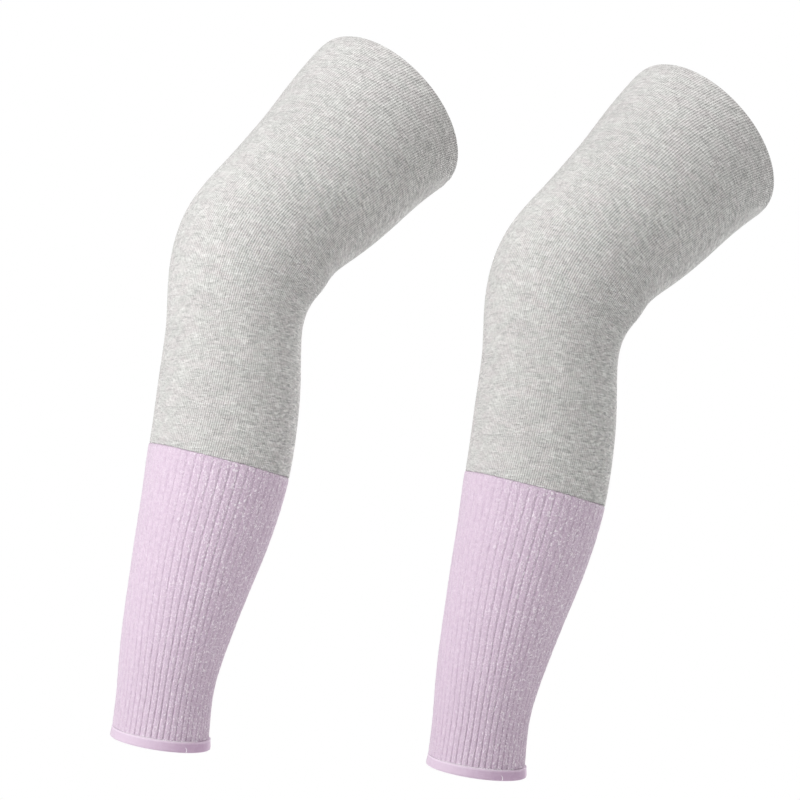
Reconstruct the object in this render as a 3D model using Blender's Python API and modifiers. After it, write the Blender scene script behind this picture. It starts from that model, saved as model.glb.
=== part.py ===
"""A pair of footless over-knee leg sleeves, filled out and bent at the knee.

Metres, +Z up, +X to the viewer's right, +Y away from the viewer. The origin is the middle of the first
sleeve's thigh opening. Each sleeve is three thin walls of cloth on one leg form: a jersey tube over the
knee, a rib tube down the calf and a narrow band round the ankle opening. The second sleeve is the first
one's copy, set to the right and a little lower.
"""

import bmesh
import bpy
import numpy as np

MM = 0.001

# Cloth walls, measured inwards from the outer face
JERSEY_WALL = 1.8 * MM
RIB_WALL = 2.2 * MM
BAND_WALL = 2.8 * MM

# Lengths along the leg, from the ankle opening up
BAND_HEIGHT = 8.0 * MM
HEM_DROP = 1.4 * MM  # the band sits this much lower at the calf's back, and higher at the shin
SEAM_HEIGHT = 232.0 * MM
SEAM_DROP = 4.0 * MM  # the jersey seam sits this much lower at the calf's back, and higher at the shin
SEAM_RISE = 1.3 * MM  # and this much higher at the side towards the viewer, lower at the far side
SEAM_GAP = 0.4 * MM  # measured on the outer face, so that the thick walls stay 0.3 mm apart
BAND_PROUD = 1.0 * MM  # how far the band's outer face stands out from the rib's

# From the first sleeve to the second
PAIR_STEP = (252.8 * MM, 0.0, -22.4 * MM)

# The leg form, a row for each section from the ankle opening to the thigh opening.
# along, width and depth are in mm. lean is how far the leg's axis tips from upright towards +X, and
# recede how far it tips towards +Y, both in degrees. width is the section's size across the view and
# depth its size through the view.
COLUMNS = ("along", "lean", "recede", "width", "depth")
SECTIONS = (
    (0, 6.1, -11, 79, 75),  # ankle opening
    (40, 5.6, -9, 74.5, 71.5),
    (75, 13, -7.5, 82.5, 79),  # the calf begins to swell
    (115, 15, -6, 91.5, 86.5),
    (170, 16, -3.5, 105.5, 98.5),
    (225, 10.9, 0, 115.5, 107.5),  # calf, just below the seam
    (290, 5.4, 3.5, 115, 108.5),
    (345, 3.6, 8, 106.5, 103),  # narrowest below the knee
    (376, 14, 13, 118.5, 114.5),
    (408, 30.6, 20, 130, 127),  # knee
    (440, 46.1, 26, 123, 121),
    (475, 49.7, 30.5, 132, 131),
    (525, 40.8, 34, 138.5, 138),
    (582, 48.9, 34.5, 148.5, 148.5),  # thigh opening
)
LENGTH = SECTIONS[-1][0] * MM
SOFTENING = 14 * MM  # the table's straight stretches are rounded over about this much of the leg
SOFTENING_REACH = 3 * SOFTENING
SOFTENING_SAMPLES = 61

# How finely the walls are drawn
AROUND = 28
JERSEY_ROWS = 23
RIB_ROWS = 13
BAND_ROWS = 3
AXIS_STEP = 0.5 * MM

COLLECTION_NAME = "leg_sleeves"
JERSEY_GREY = (0.62, 0.61, 0.59, 1.0)
RIB_LILAC = (0.66, 0.50, 0.70, 1.0)
BAND_LILAC = (0.62, 0.42, 0.68, 1.0)
CLOTH_ROUGHNESS = 0.9


def clear_scene():
    for thing in list(bpy.data.objects):
        bpy.data.objects.remove(thing, do_unlink=True)


def column(name):
    """One column of the section table, as an array."""
    place = COLUMNS.index(name)
    return np.array([row[place] for row in SECTIONS], dtype=float)


def smooth(knots, values, at):
    """Straight lines through the values at the knots, with their corners rounded, read at other places."""
    first_slope = (values[1] - values[0]) / (knots[1] - knots[0])
    last_slope = (values[-1] - values[-2]) / (knots[-1] - knots[-2])
    before = values[0] - first_slope * SOFTENING_REACH
    after = values[-1] + last_slope * SOFTENING_REACH
    long_knots = np.concatenate([[knots[0] - SOFTENING_REACH], knots, [knots[-1] + SOFTENING_REACH]])
    long_values = np.concatenate([[before], values, [after]])
    offsets = np.linspace(-SOFTENING_REACH, SOFTENING_REACH, SOFTENING_SAMPLES)
    weights = np.exp(-0.5 * (offsets / SOFTENING) ** 2)
    spread = np.interp(np.asarray(at)[..., None] + offsets, long_knots, long_values)
    return (spread * weights).sum(axis=-1) / weights.sum()


def section(name, along):
    """A column of the table at any distance along the leg: degrees as radians, mm as metres."""
    values = smooth(column("along") * MM, column(name), along)
    if name in ("lean", "recede"):
        return np.radians(values)
    return values * MM


def axis_at(along):
    """The direction of the leg's axis, going up the leg."""
    lean = section("lean", along)
    recede = section("recede", along)
    parts = (np.sin(lean) * np.cos(recede), np.sin(recede), np.cos(lean) * np.cos(recede))
    return np.stack(parts, axis=-1)


def centre_line():
    """Distances along the leg and the axis points there, with the thigh opening's middle at zero."""
    count = round(LENGTH / AXIS_STEP) + 1
    along = np.linspace(0.0, LENGTH, count)
    axis = axis_at(along)
    steps = (axis[1:] + axis[:-1]) / 2 * (LENGTH / (count - 1))
    points = np.vstack([np.zeros(3), np.cumsum(steps, axis=0)])
    return along, points - points[-1]


def leg_points(along, angle, proud=0.0):
    """Points of the leg form, given how far along and how far round each is.

    The angle is 0 at the calf's back and a quarter turn on at the side that faces away.
    """
    line_along, line_points = centre_line()
    centre = np.stack([np.interp(along, line_along, line_points[:, k]) for k in range(3)], axis=-1)
    axis = axis_at(along)
    past = along - np.clip(along, 0.0, LENGTH)  # the line goes straight on past its ends
    centre = centre + axis * past[..., None]
    lean = section("lean", along)
    across = np.stack([np.cos(lean), np.zeros_like(lean), -np.sin(lean)], axis=-1)
    through = np.cross(axis, across)
    half_width = (section("width", along) / 2 + proud) * np.cos(angle)
    half_depth = (section("depth", along) / 2 + proud) * np.sin(angle)
    return centre + across * half_width[..., None] + through * half_depth[..., None]


def seam_along(angle):
    """How far up the leg the seam between rib and jersey runs."""
    return SEAM_HEIGHT - SEAM_DROP * np.cos(angle) - SEAM_RISE * np.sin(angle)


def hem_along(angle):
    """How far up the leg the lower edge of the band runs."""
    return -HEM_DROP * np.cos(angle)


def tube_mesh(name, low, high, rows, proud=0.0):
    """An open tube on the leg form. low and high give its ends for each angle round the leg."""
    angle = np.arange(AROUND) * 2 * np.pi / AROUND
    share = np.linspace(0.0, 1.0, rows)[:, None]
    along = low(angle) * (1 - share) + high(angle) * share
    points = leg_points(along, np.broadcast_to(angle, along.shape), proud)
    bm = bmesh.new()
    rings = [[bm.verts.new(point) for point in ring] for ring in points]
    for lower, upper in zip(rings, rings[1:]):
        for k in range(AROUND):
            after = (k + 1) % AROUND
            bm.faces.new((lower[k], lower[after], upper[after], upper[k]))
    bmesh.ops.recalc_face_normals(bm, faces=bm.faces)
    mesh = bpy.data.meshes.new(name)
    bm.to_mesh(mesh)
    bm.free()
    mesh.shade_smooth()
    return mesh


def jersey_mesh():
    def bottom(angle):
        return seam_along(angle) + SEAM_GAP / 2

    def top(angle):
        return np.full_like(angle, LENGTH)

    return tube_mesh("jersey_tube", bottom, top, JERSEY_ROWS)


def rib_mesh():
    def bottom(angle):
        return hem_along(angle) + BAND_HEIGHT + SEAM_GAP / 2

    def top(angle):
        return seam_along(angle) - SEAM_GAP / 2

    return tube_mesh("rib_tube", bottom, top, RIB_ROWS)


def band_mesh():
    def top(angle):
        return hem_along(angle) + BAND_HEIGHT - SEAM_GAP / 2

    return tube_mesh("hem_band", hem_along, top, BAND_ROWS, BAND_PROUD)


def cloth_material(name, colour):
    material = bpy.data.materials.new(name)
    material.use_nodes = True
    shader = material.node_tree.nodes["Principled BSDF"]
    shader.inputs["Base Color"].default_value = colour
    shader.inputs["Roughness"].default_value = CLOTH_ROUGHNESS
    shader.inputs["Metallic"].default_value = 0.0
    material.diffuse_color = colour
    return material


def add_piece(name, mesh, wall, parent, collection):
    """One piece of cloth: the shared open tube, thickened inwards by its own Solidify."""
    piece = bpy.data.objects.new(name, mesh)
    collection.objects.link(piece)
    piece.parent = parent
    solidify = piece.modifiers.new("cloth_wall", "SOLIDIFY")
    solidify.thickness = wall
    solidify.offset = -1.0
    solidify.use_even_offset = True
    return piece


def build():
    clear_scene()
    collection = bpy.data.collections.new(COLLECTION_NAME)
    bpy.context.scene.collection.children.link(collection)
    kinds = (
        ("jersey_tube", jersey_mesh(), JERSEY_WALL, cloth_material("heather_grey_jersey", JERSEY_GREY)),
        ("rib_tube", rib_mesh(), RIB_WALL, cloth_material("lilac_rib", RIB_LILAC)),
        ("hem_band", band_mesh(), BAND_WALL, cloth_material("lilac_band", BAND_LILAC)),
    )
    for _, mesh, _, material in kinds:
        mesh.materials.append(material)
    for letter, place in (("a", (0.0, 0.0, 0.0)), ("b", PAIR_STEP)):
        sleeve = bpy.data.objects.new("sleeve_" + letter, None)
        sleeve.location = place
        collection.objects.link(sleeve)
        for name, mesh, wall, _ in kinds:
            add_piece(name + "_" + letter, mesh, wall, sleeve, collection)
    bpy.context.view_layer.update()


build()
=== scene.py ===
"""Looks for a pair of footless over-knee leg sleeves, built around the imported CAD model.

Every shape is worked out on the leg form that the CAD walls have too, a table of sections along the
leg. Each sleeve is three closed shells of cloth: a grey jersey tube, a lilac tube whose ribs are
modelled, and a hem band. A loose end of thread lies on the band. The second sleeve is the first
one's copy.

A place on a sleeve is given by three numbers: along, how far up the leg it is from the ankle opening;
its angle round the leg, which is 0 at the calf's back and a quarter turn on at the side that faces
away; and proud, how far out from the leg form it is.
"""

import bpy
import numpy as np
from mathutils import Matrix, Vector


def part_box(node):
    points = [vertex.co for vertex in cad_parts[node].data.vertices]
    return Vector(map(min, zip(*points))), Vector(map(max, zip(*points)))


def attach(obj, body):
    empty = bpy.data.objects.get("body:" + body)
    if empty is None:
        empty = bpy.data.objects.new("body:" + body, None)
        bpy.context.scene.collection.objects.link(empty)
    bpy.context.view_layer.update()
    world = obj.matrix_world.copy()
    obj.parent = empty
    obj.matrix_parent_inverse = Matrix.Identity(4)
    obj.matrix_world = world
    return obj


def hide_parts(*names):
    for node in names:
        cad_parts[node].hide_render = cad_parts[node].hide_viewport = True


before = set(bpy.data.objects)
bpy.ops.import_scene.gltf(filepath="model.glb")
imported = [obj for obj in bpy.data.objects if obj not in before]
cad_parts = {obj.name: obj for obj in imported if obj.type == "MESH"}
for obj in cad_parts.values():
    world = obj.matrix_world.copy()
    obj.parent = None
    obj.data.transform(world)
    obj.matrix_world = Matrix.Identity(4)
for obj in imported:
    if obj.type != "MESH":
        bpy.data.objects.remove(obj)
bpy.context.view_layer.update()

MM = 0.001
TURN = 2 * np.pi

# The leg form, as in the CAD: a row for each section from the ankle opening to the thigh opening.
# along, width and depth are in mm, lean and recede in degrees.
COLUMNS = ("along", "lean", "recede", "width", "depth")
SECTIONS = (
    (0, 6.1, -11, 79, 75),
    (40, 5.6, -9, 74.5, 71.5),
    (75, 13, -7.5, 82.5, 79),
    (115, 15, -6, 91.5, 86.5),
    (170, 16, -3.5, 105.5, 98.5),
    (225, 10.9, 0, 115.5, 107.5),
    (290, 5.4, 3.5, 115, 108.5),
    (345, 3.6, 8, 106.5, 103),
    (376, 14, 13, 118.5, 114.5),
    (408, 30.6, 20, 130, 127),
    (440, 46.1, 26, 123, 121),
    (475, 49.7, 30.5, 132, 131),
    (525, 40.8, 34, 138.5, 138),
    (582, 48.9, 34.5, 148.5, 148.5),
)
LENGTH = SECTIONS[-1][0] * MM
SOFTENING = 14 * MM  # the table's straight stretches are rounded over about this much of the leg
SOFTENING_REACH = 3 * SOFTENING
SOFTENING_SAMPLES = 61
AXIS_STEP = 0.5 * MM

# Where the pieces meet, as in the CAD
BAND_HEIGHT = 8.0 * MM
HEM_DROP = 1.4 * MM  # the band sits this much lower at the calf's back, and higher at the shin
SEAM_HEIGHT = 232.0 * MM
SEAM_DROP = 4.0 * MM  # the seam sits this much lower at the calf's back, and higher at the shin
SEAM_RISE = 1.3 * MM  # and this much higher at the side towards the viewer, lower at the far side

# Knit counts round the leg
RIBS = 50
WALES = 200

LINING_ROWS = 20  # rings of points down the inside of a tube


def column(name):
    """One column of the section table, as an array."""
    place = COLUMNS.index(name)
    return np.array([row[place] for row in SECTIONS], dtype=float)


def smooth(knots, values, at):
    """Straight lines through the values at the knots, their corners rounded, read at other places."""
    first_slope = (values[1] - values[0]) / (knots[1] - knots[0])
    last_slope = (values[-1] - values[-2]) / (knots[-1] - knots[-2])
    before = values[0] - first_slope * SOFTENING_REACH
    after = values[-1] + last_slope * SOFTENING_REACH
    long_knots = np.concatenate([[knots[0] - SOFTENING_REACH], knots, [knots[-1] + SOFTENING_REACH]])
    long_values = np.concatenate([[before], values, [after]])
    offsets = np.linspace(-SOFTENING_REACH, SOFTENING_REACH, SOFTENING_SAMPLES)
    weights = np.exp(-0.5 * (offsets / SOFTENING) ** 2)
    spread = np.interp(np.asarray(at)[..., None] + offsets, long_knots, long_values)
    return (spread * weights).sum(axis=-1) / weights.sum()


# The leg form read at every step along the leg, with the thigh opening's middle at zero
LINE_ALONG = np.linspace(0.0, LENGTH, round(LENGTH / AXIS_STEP) + 1)
LINE_LEAN = np.radians(smooth(column("along") * MM, column("lean"), LINE_ALONG))
LINE_RECEDE = np.radians(smooth(column("along") * MM, column("recede"), LINE_ALONG))
LINE_HALF_WIDTH = smooth(column("along") * MM, column("width"), LINE_ALONG) * MM / 2
LINE_HALF_DEPTH = smooth(column("along") * MM, column("depth"), LINE_ALONG) * MM / 2
LINE_AXIS = np.stack(
    [
        np.sin(LINE_LEAN) * np.cos(LINE_RECEDE),
        np.sin(LINE_RECEDE),
        np.cos(LINE_LEAN) * np.cos(LINE_RECEDE),
    ],
    axis=-1,
)
LINE_STEPS = (LINE_AXIS[1:] + LINE_AXIS[:-1]) / 2 * (LINE_ALONG[1] - LINE_ALONG[0])
LINE_POINTS = np.vstack([np.zeros(3), np.cumsum(LINE_STEPS, axis=0)])
LINE_POINTS -= LINE_POINTS[-1]


def leg_points(along, angle, proud):
    """Points of the leg form, moved outwards by proud. Past its ends the leg goes straight on."""

    def read(line):
        return np.interp(along, LINE_ALONG, line)

    centre = np.stack([read(LINE_POINTS[:, k]) for k in range(3)], axis=-1)
    axis = np.stack([read(LINE_AXIS[:, k]) for k in range(3)], axis=-1)
    lean = read(LINE_LEAN)
    across = np.stack([np.cos(lean), np.zeros_like(lean), -np.sin(lean)], axis=-1)
    through = np.cross(axis, across)
    half_width = (read(LINE_HALF_WIDTH) + proud) * np.cos(angle)
    half_depth = (read(LINE_HALF_DEPTH) + proud) * np.sin(angle)
    past = along - np.clip(along, 0.0, LENGTH)
    points = centre + across * half_width[..., None] + through * half_depth[..., None]
    return points + axis * past[..., None]


def seam_along(angle):
    """How far up the leg the seam between rib and jersey runs."""
    return SEAM_HEIGHT - SEAM_DROP * np.cos(angle) - SEAM_RISE * np.sin(angle)


def hem_along(angle):
    """How far up the leg the lower edge of the band runs."""
    return -HEM_DROP * np.cos(angle)


def towards_calf(angle):
    """0 at the shin and 1 at the calf's back, easing in between."""
    share = (1 + np.cos(angle)) / 2
    return share**2 * (3 - 2 * share)


def waves(angle, along, reach, seed, count=14):
    """Soft unevenness, from -1 to 1 or so: a sum of waves that close up round the leg."""
    draw = np.random.default_rng(seed)
    total = np.zeros(np.broadcast(angle, along).shape)
    for _ in range(count):
        turns = draw.integers(-3, 4)
        steps = draw.uniform(-1.0, 1.0) * TURN / reach
        total += draw.uniform(0.4, 1.0) * np.sin(turns * angle + steps * along + draw.uniform(0, TURN))
    return total / np.sqrt(count)


def edge_waves(angle, seed):
    """The same unevenness for an edge, where only the angle counts."""
    return waves(angle, np.zeros_like(angle), 1.0, seed)


def ring_mesh(name, along, angle, proud, turned=0.0, groove=0.0):
    """A closed shell from rings of points: up the outside, over the top, down the inside and back.

    The knit's coordinates go with it: where each point is round the leg, less how far the wales have
    turned there, and how far along it is in mm. groove is 1 at the bottom of a groove between ribs.
    """
    points = leg_points(along, angle, proud)
    rows, around = points.shape[:2]
    ring = np.arange(rows)[:, None]
    step = np.arange(around)[None, :]
    next_ring = (ring + 1) % rows
    next_step = (step + 1) % around
    corners = (
        ring * around + step,
        ring * around + next_step,
        next_ring * around + next_step,
        next_ring * around + step,
    )
    faces = np.stack(np.broadcast_arrays(*corners), axis=-1).reshape(-1, 4)
    mesh = bpy.data.meshes.new(name)
    mesh.from_pydata(points.reshape(-1, 3), [], faces.tolist())
    place = angle - turned
    wrap = np.stack([np.cos(place), np.sin(place), along / MM], axis=-1).astype("f")
    mesh.attributes.new("wrap", "FLOAT_VECTOR", "POINT").data.foreach_set("vector", wrap.ravel())
    depth = np.broadcast_to(groove, along.shape).astype("f")
    mesh.attributes.new("groove", "FLOAT", "POINT").data.foreach_set("value", depth.ravel())
    mesh.update()
    mesh.shade_smooth()
    return mesh


# ------------------------------------------------------------------------------ the jersey tube

JERSEY_WALL = 1.4 * MM
JERSEY_AROUND = 8 * RIBS
JERSEY_ROWS = 168
JERSEY_CROWDING = 1.15  # above 1, the rows crowd towards the lower edge, which curls in
JERSEY_LINING_CROWDING = 1.5
JERSEY_UNEVEN = 0.3 * MM
JERSEY_UNEVEN_REACH = 170 * MM

# How far round the leg the wales turn as they go up it, in degrees of slant, at places along in mm
SLANT_ALONG = (230, 350, 400, 440, 490, 582)
SLANT = (5.5, 6, -3, -7, 8, 12)

# The seam's line: each rib's top pushes up into the jersey's edge, and the line is a little uneven
TEETH_HEIGHT = 0.12 * MM
SEAM_UNEVEN = 0.2 * MM
EDGE_LIFT = 0.1 * MM  # the jersey's edge stands this much above the seam's line
EDGE_LINING_LIFT = 0.1 * MM
CURL_REACH = 1.4 * MM
CURL_IN = 0.3 * MM
EDGE_THIN_REACH = 9 * MM  # the wall thins towards its lower edge, where the rib goes in under it
EDGE_THIN = 0.45 * MM

# The turned edge of the thigh opening
RIM_ROLL = 1.0 * MM
RIM_ROLL_POINTS = 9
RIM_BEND_REACH = 5 * MM
RIM_BEND_IN = 0.5 * MM


def slant_turn(along):
    """How far round the leg the wales have turned at each place along it."""
    slant = np.radians(np.interp(LINE_ALONG / MM, SLANT_ALONG, SLANT))
    rate = np.tan(slant) / LINE_HALF_DEPTH
    turned = np.concatenate([[0.0], np.cumsum((rate[1:] + rate[:-1]) / 2 * np.diff(LINE_ALONG))])
    return np.interp(along, LINE_ALONG, turned)


def seam_teeth(angle):
    """How far up the leg the seam runs, with a tooth for each rib."""
    ribs = np.cos(RIBS * (angle - rib_turn(seam_along(angle))))
    return seam_along(angle) - TEETH_HEIGHT * ribs + SEAM_UNEVEN * edge_waves(angle * 3, 5)


def jersey_mesh():
    angle = np.arange(JERSEY_AROUND) * TURN / JERSEY_AROUND
    edge = seam_teeth(angle)[None, :] + EDGE_LIFT
    rim = LENGTH - RIM_ROLL
    share = np.linspace(0, 1, JERSEY_ROWS)[:, None] ** JERSEY_CROWDING
    along_out = edge * (1 - share) + rim * share
    curl = np.clip(1 - (along_out - edge) / CURL_REACH, 0, 1)
    bend = np.clip(1 - (rim - along_out) / RIM_BEND_REACH, 0, 1)
    angle_out = np.broadcast_to(angle, along_out.shape)
    proud_out = JERSEY_UNEVEN * waves(angle_out, along_out, JERSEY_UNEVEN_REACH, 11)
    proud_out = proud_out - CURL_IN * curl**2 - RIM_BEND_IN * bend**2
    roll = np.linspace(0, np.pi, RIM_ROLL_POINTS)[1:-1][:, None]
    along_rim = rim + RIM_ROLL * np.sin(roll) + 0 * angle
    proud_rim = proud_out[-1] - JERSEY_WALL / 2 * (1 - np.cos(roll))
    share_in = np.linspace(1, 0, LINING_ROWS)[:, None] ** JERSEY_LINING_CROWDING
    along_in = (edge + EDGE_LINING_LIFT) * (1 - share_in) + rim * share_in
    thin = np.clip(1 - (along_in - edge) / EDGE_THIN_REACH, 0, 1)
    proud_in = proud_out[-1] * share_in - JERSEY_WALL + EDGE_THIN * thin
    along = np.concatenate([along_out, along_rim, along_in])
    proud = np.concatenate([proud_out, proud_rim, proud_in])
    angles = np.broadcast_to(angle, along.shape)
    return ring_mesh("jersey_tube", along, angles, proud, slant_turn(along))


# --------------------------------------------------------------------------------- the rib tube

RIB_WALL = 2.0 * MM
RIB_ROWS = 168
RIB_END_SHARES = (0.0, 0.0006, 0.0015, 0.003)  # more rows, close to the rib's lower end
RIB_FIRST_SHARE = 0.006
RIB_CROWN = 0.45 * MM  # how proud the ribs' tops are

# One rib's outline: how far across it each point is, and how high. The groove is at 0, and a faint
# line runs down the middle between the rib's two wales.
RIB_ACROSS = np.array([0.0, 0.07, 0.15, 0.25, 0.37, 0.50, 0.63, 0.75, 0.85, 0.93])
RIB_HEIGHT = np.array([0.0, 0.38, 0.75, 0.94, 1.00, 0.84, 1.00, 0.94, 0.75, 0.38])
# The grooves are shallow at the shin, where the rib is stretched most, and deep at the calf's back.
# They are deepest above the band, where the leg is slim: RIB_SLACK multiplies the depth, at places
# along in mm.
RIB_DEPTH_SHIN = 0.75 * MM
RIB_DEPTH_CALF = 1.35 * MM
RIB_SLACK_ALONG = (30, 90, 230)
RIB_SLACK = (1.1, 0.78, 0.63)
# The ribs wander a little round the leg on their way up, in mm and in the angle's direction: on the
# viewer's side that is towards the calf's back
RIB_DRIFT_ALONG = (20, 68, 119, 175, 215)
RIB_DRIFT = (1.0, 3.6, 0.4, -3.3, -1.2)

# Unevenness of the ribs: how far it goes and over how much of the leg
RIB_WOBBLE = 0.25 * MM
RIB_WOBBLE_REACH = 45 * MM
RIB_WOBBLE_WAVES = 18
CALF_RADIUS = 46 * MM
RIB_DEPTH_UNEVEN = 0.12
RIB_DEPTH_UNEVEN_REACH = 30 * MM
RIB_FUZZ = 0.07 * MM
RIB_UNEVEN = 0.2 * MM
RIB_UNEVEN_REACH = 150 * MM

# The lower end stands on the band, drawn in and rounded
HEM_UNEVEN = 0.08 * MM
RIB_LOW_LIFT = 0.45 * MM
RIB_LINING_LIFT = 0.1 * MM
DRAWN_IN = 0.5 * MM
DRAWN_IN_REACH = 30 * MM
LOW_ROUND_SLOPE = 3
LOW_ROUND_IN = 0.5 * MM

# The upper end bends in and goes on under the jersey as a tongue, given as (along, proud) in mm
TUCK_REACH = 0.8 * MM
TUCK_IN = 0.35 * MM
RIB_TOP_DROP = 0.15 * MM
TONGUE_OUTLINE = ((0.1, -1.15), (0.9, -1.2), (1.9, -1.3), (2.2, -1.6))
TONGUE_LINING_LIFT = 2.0 * MM
RIB_LINING_RELIEF = 0.25 * MM
RIB_MIDDLE_HEIGHT = 0.5


def rib_turn(along):
    """How far round the leg the ribs have wandered at each place along it."""
    drift = smooth(np.array(RIB_DRIFT_ALONG) * MM, np.array(RIB_DRIFT) * MM, LINE_ALONG)
    return np.interp(along, LINE_ALONG, drift / LINE_HALF_WIDTH)


def hem_wave(angle):
    """The band's upper edge, and the rib's lower one above it, run a little unevenly."""
    return HEM_UNEVEN * edge_waves(angle * 2, 9)


def drawn_in(along):
    """How much the rib narrows above the band."""
    return DRAWN_IN * np.clip(1 - (along - BAND_HEIGHT) / DRAWN_IN_REACH, 0, 1) ** 2


def rib_fuzz(shape):
    """Fine roughness, smoothed a little up the leg. The extra rows at the lower end share one row's."""
    fuzz = np.random.default_rng(4).normal(0, 1, shape)
    fuzz = (fuzz + np.roll(fuzz, 1, 0)) / np.sqrt(2)
    fuzz[: len(RIB_END_SHARES)] = fuzz[len(RIB_END_SHARES)]
    return RIB_FUZZ * fuzz


def rib_mesh():
    step = np.arange(RIBS)[:, None]
    angle = ((step + RIB_ACROSS[None, :]) * TURN / RIBS).reshape(-1)
    height = np.tile(RIB_HEIGHT, RIBS)
    low = (hem_along(angle) + hem_wave(angle))[None, :] + BAND_HEIGHT + RIB_LOW_LIFT
    top = seam_teeth(angle)[None, :] - RIB_TOP_DROP
    share = np.concatenate([RIB_END_SHARES, np.linspace(RIB_FIRST_SHARE, 1, RIB_ROWS)])[:, None]
    along_out = low * (1 - share) + top * share
    plain = np.broadcast_to(angle, along_out.shape)
    wobble = waves(plain * 2, along_out, RIB_WOBBLE_REACH, 21, RIB_WOBBLE_WAVES)
    angle_out = plain + rib_turn(along_out) + RIB_WOBBLE / CALF_RADIUS * wobble
    depth = RIB_DEPTH_SHIN + (RIB_DEPTH_CALF - RIB_DEPTH_SHIN) * towards_calf(plain)
    depth = depth * np.interp(along_out / MM, RIB_SLACK_ALONG, RIB_SLACK)
    uneven = 1 + RIB_DEPTH_UNEVEN * waves(plain * 5, along_out, RIB_DEPTH_UNEVEN_REACH, 31)
    proud_out = RIB_CROWN - depth * (1 - height) * uneven + rib_fuzz(along_out.shape)
    proud_out = proud_out + RIB_UNEVEN * waves(plain, along_out, RIB_UNEVEN_REACH, 12)
    proud_out = proud_out - drawn_in(along_out)
    proud_out = np.minimum(proud_out, LOW_ROUND_SLOPE * (along_out - low) - LOW_ROUND_IN)
    tuck = np.clip(1 - (top - along_out) / TUCK_REACH, 0, 1) ** 2
    proud_out = proud_out * (1 - tuck) - TUCK_IN * tuck
    tongue = np.array(TONGUE_OUTLINE) * MM
    along_tongue = top + tongue[:, :1]
    proud_tongue = tongue[:, 1:] + 0 * along_tongue
    share_in = np.linspace(1, 0, LINING_ROWS)[:, None]
    along_in = (low + RIB_LINING_LIFT) * (1 - share_in) + (top + TONGUE_LINING_LIFT) * share_in
    relief_in = RIB_LINING_RELIEF * (height - RIB_MIDDLE_HEIGHT)
    proud_in = -RIB_WALL + relief_in - drawn_in(along_in)
    along = np.concatenate([along_out, along_tongue, along_in])
    proud = np.concatenate([proud_out, proud_tongue, proud_in])
    inner = np.concatenate([along_tongue, along_in])
    angles = np.concatenate([angle_out, angle + rib_turn(inner)])
    groove = np.broadcast_to(1 - height, along.shape)
    return ring_mesh("rib_tube", along, angles, proud, 0.0, groove)


# --------------------------------------------------------------------------------- the hem band

# The band's cross-section, as (along, proud) in mm: up the outside, over the edge that the rib stands
# on, and down the inside
BAND_OUTLINE = (
    (0.00, -0.7),
    (0.05, 0.0),
    (0.30, 0.42),
    (1.00, 0.56),
    (2.50, 0.54),
    (4.00, 0.42),
    (5.40, 0.28),
    (6.60, 0.18),
    (7.30, 0.22),
    (7.80, 0.24),
    (8.10, 0.15),
    (8.25, -0.02),
    (8.25, -0.50),
    (8.20, -1.0),
    (8.05, -1.5),
    (7.40, -1.85),
    (5.80, -2.0),
    (4.20, -2.0),
    (2.30, -1.9),
    (0.90, -1.8),
    (0.20, -1.5),
)
BAND_AROUND = 360
BAND_FLARE = 1.1 * MM  # how much further the band stands out at the calf's back than at the shin
BAND_FLARE_POWER = 1.5
BAND_OUTER_DEPTH = 0.4  # in mm: what lies further in than this doesn't follow the flare
BAND_PUCKER = 0.06 * MM  # its upper edge puckers with the ribs
BAND_UNEVEN = 0.08 * MM


def band_mesh():
    angle = np.arange(BAND_AROUND) * TURN / BAND_AROUND
    outline = np.array(BAND_OUTLINE)
    along = outline[:, :1] * MM + hem_along(angle)
    proud = outline[:, 1:] * MM + 0 * angle
    up = outline[:, :1] / outline[:, 0].max()
    outer = np.clip(outline[:, 1:] / BAND_OUTER_DEPTH + 1, 0, 1)
    pucker = BAND_PUCKER * np.cos(RIBS * angle) + BAND_UNEVEN * edge_waves(angle * 9, 8)
    flare = BAND_FLARE * towards_calf(angle) ** BAND_FLARE_POWER
    proud = proud + outer * (up * pucker + flare)
    along = along + up * hem_wave(angle)
    return ring_mesh("hem_band", along, np.broadcast_to(angle, along.shape), proud)


# ------------------------------------------------------------------------------ the loose thread

# The thread hangs down over the band, on the side towards the viewer. Angles in degrees, the rest mm.
THREAD_ANGLE = (-58.8, -57.8, -57.2, -57.0, -57.1, -57.4, -57.8, -58.2)
THREAD_ALONG = (3.6, 3.0, 2.4, 1.7, 1.0, 0.3, -0.4, -1.0)
THREAD_PROUD = (1.5, 1.66, 1.74, 1.78, 1.80, 1.80, 1.74, 1.58)
THREAD_RADIUS = 0.28 * MM
THREAD_SIDES = 8
THREAD_END = 0.12  # how far into a half turn its tapered ends begin
THREAD_BLUNTNESS = 0.4
TOWARDS_VIEWER = (0.0, -1.0, 0.0)


def thread_points():
    """The thread's middle line, in the first sleeve's place."""
    angle = np.radians(np.array(THREAD_ANGLE))
    return leg_points(np.array(THREAD_ALONG) * MM, angle, np.array(THREAD_PROUD) * MM)


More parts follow.
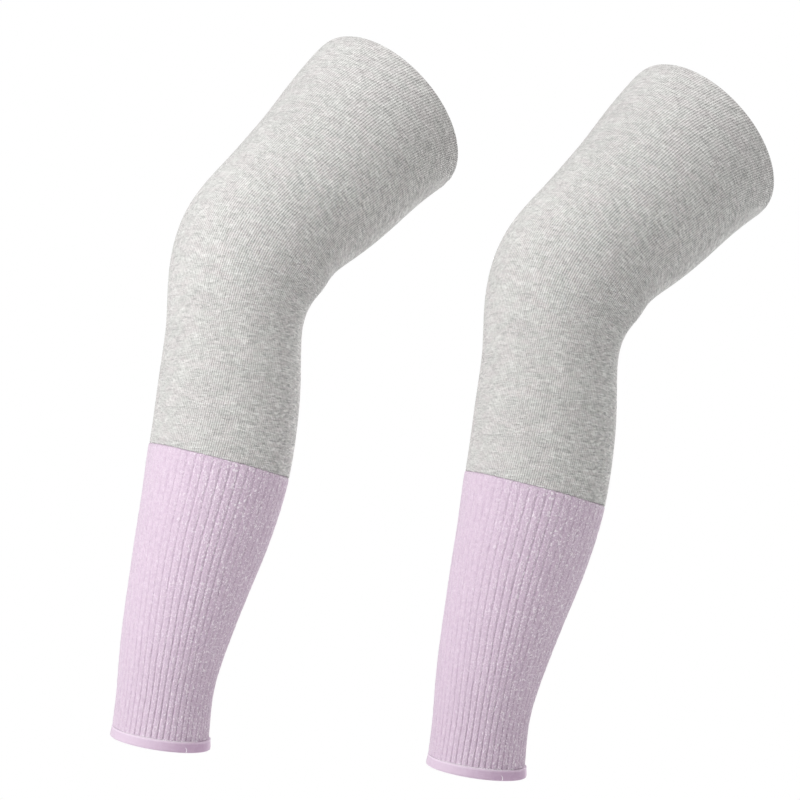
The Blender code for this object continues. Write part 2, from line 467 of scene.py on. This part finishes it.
def thread_mesh():
    """A short tube along the thread's middle line, thinner to its ends."""
    points = thread_points()
    count = len(points)
    tangent = np.gradient(points, axis=0)
    tangent /= np.linalg.norm(tangent, axis=1)[:, None]
    side = np.cross(tangent, TOWARDS_VIEWER)
    side /= np.linalg.norm(side, axis=1)[:, None]
    up = np.cross(side, tangent)
    angle = (np.arange(THREAD_SIDES) * TURN / THREAD_SIDES)[None, :, None]
    swell = np.sin(np.linspace(THREAD_END, np.pi - THREAD_END, count)) ** THREAD_BLUNTNESS
    circle = side[:, None] * np.cos(angle) + up[:, None] * np.sin(angle)
    rings = points[:, None] + circle * (swell * THREAD_RADIUS)[:, None, None]
    vertices = np.concatenate([rings.reshape(-1, 3), points[:1], points[-1:]])
    first_tip, last_tip = count * THREAD_SIDES, count * THREAD_SIDES + 1
    faces = []
    for row in range(count - 1):
        lower, upper = row * THREAD_SIDES, (row + 1) * THREAD_SIDES
        for k in range(THREAD_SIDES):
            after = (k + 1) % THREAD_SIDES
            faces.append((lower + k, upper + k, upper + after, lower + after))
    last = (count - 1) * THREAD_SIDES
    for k in range(THREAD_SIDES):
        after = (k + 1) % THREAD_SIDES
        faces.append((first_tip, k, after))
        faces.append((last_tip, last + after, last + k))
    mesh = bpy.data.meshes.new("loose_thread")
    mesh.from_pydata(vertices, [], faces)
    mesh.update()
    mesh.shade_smooth()
    return mesh


# ------------------------------------------------------------------------------------- materials

WHITE = (1.0, 1.0, 1.0, 1.0)
LILAC_SHEEN = (1.0, 0.98, 1.0, 1.0)
CLOTH_SPECULAR = 0.25
CLOTH_SHEEN_ROUGHNESS = 0.5

# Jersey
COOL_GREY = (0.602, 0.600, 0.576, 1)
WARM_GREY = (0.626, 0.592, 0.584, 1)
CLOUD_GREY = (0.42, 0.42, 0.41, 1)
DARK_FIBRE = (0.36, 0.36, 0.35, 1)
LIGHT_FIBRE = (0.88, 0.875, 0.85, 1)
# Painted shade for the grooves between wales, and painted highlight for their crowns
WALE_GROOVE_SHADE = (0.25, 0.25, 0.25, 1)
WALE_CROWN_HIGHLIGHT = (0.86, 0.855, 0.835, 1)

# Rib
DEEP_LILAC = (0.61, 0.480, 0.598, 1)
PALE_LILAC = (0.665, 0.538, 0.648, 1)
SHADED_LILAC = (0.44, 0.31, 0.43, 1)
# Painted shade for the grooves between ribs
RIB_GROOVE_SHADE = (0.33, 0.21, 0.33, 1)
NAP_GRAIN = (0.42, 0.29, 0.41, 1)
# White specks of the brushed nap, which also serve as painted highlight where the nap catches light
NAP_FROST_AND_HIGHLIGHT = (0.94, 0.88, 0.93, 1)

# Band, thread and floor
# The band's colour as lit at the shin, and a darker copy as painted shade at the calf's back
BAND_LIT_AT_SHIN = (0.572, 0.456, 0.562, 1)
BAND_SHADED_AT_CALF = (0.488, 0.333, 0.474, 1)
BAND_MOTTLE = (0.70, 0.60, 0.69, 1)
BAND_GRAIN = (0.76, 0.66, 0.76, 1)
# Painted highlight along the band's upper edge
BAND_EDGE_HIGHLIGHT = (0.84, 0.76, 0.84, 1)
THREAD_SHADE = (0.80, 0.76, 0.81, 1)
THREAD_LIGHT = (0.95, 0.93, 0.95, 1)
THREAD_TWIST = 3000.0  # of the thread's speckle, for each metre
FLOOR_SHADE = (0.86, 0.86, 0.86, 1)
FLOOR_LIGHT = (0.88, 0.88, 0.88, 1)


class Nodes:
    """Short names for building a material's nodes."""

    def __init__(self, name):
        self.material = bpy.data.materials.new(name)
        self.material.use_nodes = True
        self.tree = self.material.node_tree
        self.shader = self.tree.nodes["Principled BSDF"]

    def node(self, kind, **settings):
        made = self.tree.nodes.new(kind)
        for key, value in settings.items():
            setattr(made, key, value)
        return made

    def put(self, socket, value):
        if isinstance(value, bpy.types.NodeSocket):
            self.tree.links.new(value, socket)
        else:
            socket.default_value = value

    def surface(self, colour, normal=None):
        """Gives the shader its colour and, where there is one, its relief."""
        self.put(self.shader.inputs["Base Color"], colour)
        if normal is not None:
            self.put(self.shader.inputs["Normal"], normal)
        return self.material

    def cloth(self, roughness, sheen, tint):
        self.put(self.shader.inputs["Roughness"], roughness)
        self.put(self.shader.inputs["Specular IOR Level"], CLOTH_SPECULAR)
        self.put(self.shader.inputs["Sheen Weight"], sheen)
        self.put(self.shader.inputs["Sheen Roughness"], CLOTH_SHEEN_ROUGHNESS)
        self.put(self.shader.inputs["Sheen Tint"], tint)

    def math(self, operation, *values):
        made = self.node("ShaderNodeMath", operation=operation)
        for socket, value in zip(made.inputs, values):
            self.put(socket, value)
        return made.outputs[0]

    def times(self, first, second):
        return self.math("MULTIPLY", first, second)

    def ramp(self, value, low, high, out_low=0.0, out_high=1.0):
        """Goes from out_low to out_high, easing, as the value goes from low to high."""
        made = self.node("ShaderNodeMapRange", interpolation_type="SMOOTHSTEP")
        for socket, given in zip(made.inputs, (value, low, high, out_low, out_high)):
            self.put(socket, given)
        return made.outputs[0]

    def mix(self, factor, first, second):
        made = self.node("ShaderNodeMix", data_type="RGBA")
        self.put(made.inputs["Factor"], factor)
        self.put(made.inputs["A"], first)
        self.put(made.inputs["B"], second)
        return made.outputs["Result"]

    def attribute(self, name, output):
        return self.node("ShaderNodeAttribute", attribute_name=name).outputs[output]

    def object_place(self):
        return self.node("ShaderNodeTexCoord").outputs["Object"]

    def combine(self, x, y, z):
        made = self.node("ShaderNodeCombineXYZ")
        for socket, value in zip(made.inputs, (x, y, z)):
            self.put(socket, value)
        return made.outputs[0]

    def noise(self, vector, detail=1.0, roughness=0.5, scale=1.0):
        made = self.node("ShaderNodeTexNoise")
        self.put(made.inputs["Vector"], vector)
        self.put(made.inputs["Scale"], scale)
        self.put(made.inputs["Detail"], detail)
        self.put(made.inputs["Roughness"], roughness)
        return made.outputs["Fac"]

    def bump(self, height, distance, strength, normal=None):
        """Relief from a height, laid over the relief given as normal."""
        made = self.node("ShaderNodeBump")
        self.put(made.inputs["Strength"], strength)
        self.put(made.inputs["Distance"], distance)
        self.put(made.inputs["Height"], height)
        if normal is not None:
            self.put(made.inputs["Normal"], normal)
        return made.outputs[0]


class Knit(Nodes):
    """A cloth whose pattern is laid out by how far round and along the leg each point is."""

    def __init__(self, name):
        super().__init__(name)
        split = self.node("ShaderNodeSeparateXYZ")
        self.put(split.inputs[0], self.attribute("wrap", "Vector"))
        self.x, self.y, self.along = split.outputs

    def cells(self, around, height, shift=0.0, along=None):
        """Coordinates whose unit cells are 1/around of a turn wide and height mm tall."""
        radius = around / TURN
        along = self.along if along is None else along
        up = self.math("MULTIPLY_ADD", along, 1 / height, shift)
        return self.combine(self.times(self.x, radius), self.times(self.y, radius), up)

    def by_side(self, shin, calf):
        """A value that goes from the shin's to the calf's round the leg. The marks it scales grow
        stronger towards the calf's back, the side in shade, so it adds painted shade and painted
        highlight there.
        """
        return self.ramp(self.x, -0.95, 0.75, shin, calf)


def jersey_material():
    m = Knit("heather_jersey")
    m.cloth(roughness=0.92, sheen=0.3, tint=WHITE)
    # Dark and light streaks lie along the courses, which wander up and down a little
    wander = m.noise(m.cells(around=9, height=14))
    course = m.math("MULTIPLY_ADD", wander, 6.0, m.along)
    dark_streak = m.noise(m.cells(50, 1.5, 3.0, course), detail=2.0, roughness=0.55)
    light_streak = m.noise(m.cells(56, 1.25, 47.0, course), detail=2.0, roughness=0.55)
    cloud = m.noise(m.cells(16, 12, 91.0), detail=2.0)
    tint = m.noise(m.cells(24, 7, 33.0), detail=2.0)
    stitch = m.noise(m.cells(WALES, 2.6, 12.0))
    wale = m.math("COSINE", m.times(m.math("ARCTAN2", m.y, m.x), WALES))
    colour = m.mix(m.ramp(tint, 0.35, 0.65), COOL_GREY, WARM_GREY)
    # The heather's dark and light fibres; the dark ones grow towards the calf's back, where they add
    # painted shade
    dark_fibre_and_shade = m.times(m.ramp(dark_streak, 0.47, 0.68), m.by_side(shin=0.5, calf=1.25))
    light = m.times(m.ramp(light_streak, 0.48, 0.68), m.by_side(shin=0.46, calf=1.1))
    colour = m.mix(dark_fibre_and_shade, colour, DARK_FIBRE)
    colour = m.mix(light, colour, LIGHT_FIBRE)
    colour = m.mix(m.ramp(cloud, 0.35, 0.65, 0.0, 0.14), colour, CLOUD_GREY)
    # Painted shade in the grooves between the wales and painted highlight on their crowns, stronger
    # over the knee and the thigh, where the cloth is stretched, and towards the calf's back
    painted_wale_strength = m.times(m.ramp(m.along, 330.0, 400.0, 0.34, 0.48), m.by_side(shin=0.9, calf=1.5))
    groove = m.times(m.ramp(wale, -1.0, 0.4, 1.0, 0.0), m.ramp(stitch, 0.35, 0.62, 0.2, 1.0))
    colour = m.mix(m.times(groove, painted_wale_strength), colour, WALE_GROOVE_SHADE)
    crown_highlight = m.times(m.ramp(wale, 0.0, 1.0), m.ramp(stitch, 0.42, 0.65, 1.0, 0.0))
    colour = m.mix(m.times(crown_highlight, painted_wale_strength), colour, WALE_CROWN_HIGHLIGHT)
    slub = m.math("SUBTRACT", light_streak, dark_streak)
    loops = m.math("MULTIPLY_ADD", wale, 0.5, m.times(stitch, 1.2))
    fine = m.noise(m.cells(500, 0.5, 8.0), detail=2.0)
    normal = m.bump(slub, distance=2.2 * MM, strength=0.8)
    normal = m.bump(loops, 0.5 * MM, 0.8, normal)
    normal = m.bump(fine, 0.25 * MM, 0.5, normal)
    return m.surface(colour, normal)


def rib_material():
    m = Knit("brushed_rib")
    m.cloth(roughness=0.95, sheen=0.5, tint=LILAC_SHEEN)
    mottle = m.noise(m.cells(around=90, height=3.0, shift=5.0), detail=2.0)
    shade = m.noise(m.cells(240, 1.6, 29.0), detail=2.0)
    nap = m.noise(m.cells(420, 0.8, 71.0), detail=2.0, roughness=0.6)
    speck = m.noise(m.cells(340, 1.0, 61.0), detail=2.0, roughness=0.6)
    dash = m.noise(m.cells(250, 2.3, 17.0))
    colour = m.mix(m.ramp(mottle, 0.3, 0.7), DEEP_LILAC, PALE_LILAC)
    shaded = m.times(m.ramp(shade, 0.48, 0.7), m.by_side(shin=0.12, calf=0.45))
    colour = m.mix(shaded, colour, SHADED_LILAC)
    # Painted shade in the grooves between ribs, stronger towards the calf's back
    groove_shade = m.times(m.ramp(m.attribute("groove", "Fac"), 0.1, 1.0), m.by_side(shin=0.06, calf=0.26))
    colour = m.mix(groove_shade, colour, RIB_GROOVE_SHADE)
    grain = m.times(m.ramp(nap, 0.45, 0.68), m.by_side(shin=0.06, calf=0.45))
    colour = m.mix(grain, colour, NAP_GRAIN)
    # White specks of the nap, with painted highlight: more of them towards the calf's back
    frost_and_highlight = m.math("MAXIMUM", m.ramp(speck, 0.55, 0.68), m.ramp(dash, 0.58, 0.72))
    colour = m.mix(m.times(frost_and_highlight, m.by_side(shin=0.22, calf=1.0)), colour, NAP_FROST_AND_HIGHLIGHT)
    normal = m.bump(m.math("ADD", speck, dash), distance=0.7 * MM, strength=0.8)
    normal = m.bump(nap, 0.8 * MM, 0.8, normal)
    return m.surface(colour, normal)


def band_material():
    m = Knit("smooth_band")
    m.cloth(roughness=0.9, sheen=0.4, tint=LILAC_SHEEN)
    mottle = m.noise(m.cells(around=60, height=2.5, shift=5.0), detail=2.0)
    grain = m.noise(m.cells(380, 0.7, 15.0), detail=2.0)
    # Painted shade: the band goes from its lit colour at the shin to its shaded copy at the calf's back
    colour = m.mix(m.ramp(m.x, -0.6, 0.95), BAND_LIT_AT_SHIN, BAND_SHADED_AT_CALF)
    colour = m.mix(m.ramp(mottle, 0.3, 0.7, 0.0, 0.12), colour, BAND_MOTTLE)
    colour = m.mix(m.ramp(grain, 0.55, 0.75, 0.0, 0.25), colour, BAND_GRAIN)
    # The band's upper edge gets a painted highlight along its ridge. It runs level with the hem, lower
    # at the calf's back.
    height = m.math("MULTIPLY_ADD", m.x, HEM_DROP / MM, m.along)
    colour = m.mix(m.ramp(height, 6.4, 7.3, 0.0, 0.3), colour, BAND_EDGE_HIGHLIGHT)
    return m.surface(colour, m.bump(grain, distance=0.25 * MM, strength=0.5))


def thread_material():
    m = Nodes("white_thread")
    m.cloth(roughness=0.8, sheen=0.1, tint=WHITE)
    twist = m.noise(m.object_place(), detail=2.0, scale=THREAD_TWIST)
    return m.surface(m.mix(twist, THREAD_SHADE, THREAD_LIGHT))


def floor_material():
    m = Nodes("studio_floor")
    m.put(m.shader.inputs["Roughness"], 0.8)
    grain = m.noise(m.object_place(), detail=2.0)
    return m.surface(m.mix(grain, FLOOR_SHADE, FLOOR_LIGHT))


# ------------------------------------------------------------------------------------ the pieces


def piece(name, mesh, place, node):
    """One piece of a sleeve. It stands for the CAD node, if there is one for it."""
    made = bpy.data.objects.new(name, mesh)
    made.location = place
    bpy.context.scene.collection.objects.link(made)
    bpy.context.view_layer.update()
    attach(made, "root")
    if node is not None:
        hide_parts(node)
    return made


def pair_step():
    """How far the second sleeve stands from the first."""
    first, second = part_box("jersey_tube_a")[0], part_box("jersey_tube_b")[0]
    return tuple(b - a for a, b in zip(first, second))


def build_sleeves():
    jersey, rib, band, thread = jersey_mesh(), rib_mesh(), band_mesh(), thread_mesh()
    jersey.materials.append(jersey_material())
    rib.materials.append(rib_material())
    band.materials.append(band_material())
    thread.materials.append(thread_material())
    for letter, place in (("a", (0.0, 0.0, 0.0)), ("b", pair_step())):
        tube = piece("jersey_cloth_" + letter, jersey, place, "jersey_tube_" + letter)
        lower = piece("rib_cloth_" + letter, rib, place, "rib_tube_" + letter)
        hem = piece("band_cloth_" + letter, band, place, "hem_band_" + letter)
        end = piece("loose_thread_" + letter, thread, place, None)


# ------------------------------------------------------------------------------------ the studio

# The camera looks level along +Y, so the floor is edge-on to it
CAMERA_PLACE = (0.01129, -3.0, -0.22926)
CAMERA_TURN = (np.pi / 2, 0.0, 0.0)
FRAME_WIDTH = 0.64

FLOOR_REACH = 6.0
FLOOR_LEVEL = -0.552

WORLD_SEEN = 1.0  # the white ground, as the camera sees it
WORLD_LIGHTING = 0.38  # and as it lights the cloth

# Each area light's name, place, width and height in metres, and power in watts
LIGHTS = (
    ("key", (-1.79, -1.29, 0.72), (1.4, 1.4), 48),
    ("rim", (0.81, 1.51, -0.2), (0.7, 1.6), 34),
    ("top", (0.72, -0.31, 1.76), (2.0, 2.0), 27),
)
LIGHT_TARGET = (0.02, 0.0, -0.2)


def build_camera():
    data = bpy.data.cameras.new("camera")
    data.type = "ORTHO"
    data.ortho_scale = FRAME_WIDTH
    camera = bpy.data.objects.new("camera", data)
    camera.location = CAMERA_PLACE
    camera.rotation_euler = CAMERA_TURN
    bpy.context.scene.collection.objects.link(camera)
    bpy.context.scene.camera = camera


def build_floor():
    mesh = bpy.data.meshes.new("floor")
    sides = ((-1, -1), (1, -1), (1, 1), (-1, 1))
    corners = [(x * FLOOR_REACH, y * FLOOR_REACH, FLOOR_LEVEL) for x, y in sides]
    mesh.from_pydata(corners, [], [(0, 1, 2, 3)])
    mesh.materials.append(floor_material())
    floor = bpy.data.objects.new("floor", mesh)
    bpy.context.scene.collection.objects.link(floor)


def build_world():
    """A white ground that gives the cloth less light than the camera sees."""
    world = bpy.data.worlds.new("white_studio")
    bpy.context.scene.world = world
    world.use_nodes = True
    tree = world.node_tree
    background = tree.nodes["Background"]
    background.inputs["Color"].default_value = WHITE
    path = tree.nodes.new("ShaderNodeLightPath")
    strength = tree.nodes.new("ShaderNodeMapRange")
    tree.links.new(path.outputs["Is Camera Ray"], strength.inputs["Value"])
    strength.inputs["To Min"].default_value = WORLD_LIGHTING
    strength.inputs["To Max"].default_value = WORLD_SEEN
    tree.links.new(strength.outputs["Result"], background.inputs["Strength"])


def area_light(name, place, size, energy):
    data = bpy.data.lights.new(name, "AREA")
    data.shape = "RECTANGLE"
    data.size, data.size_y = size
    data.energy = energy
    light = bpy.data.objects.new(name, data)
    light.location = place
    direction = Vector(LIGHT_TARGET) - light.location
    light.rotation_euler = direction.to_track_quat("-Z", "Y").to_euler()
    bpy.context.scene.collection.objects.link(light)


build_camera()
build_floor()
build_world()
for settings in LIGHTS:
    area_light(*settings)
build_sleeves()
bpy.context.scene.view_settings.view_transform = "Standard"

bpy.context.view_layer.update()
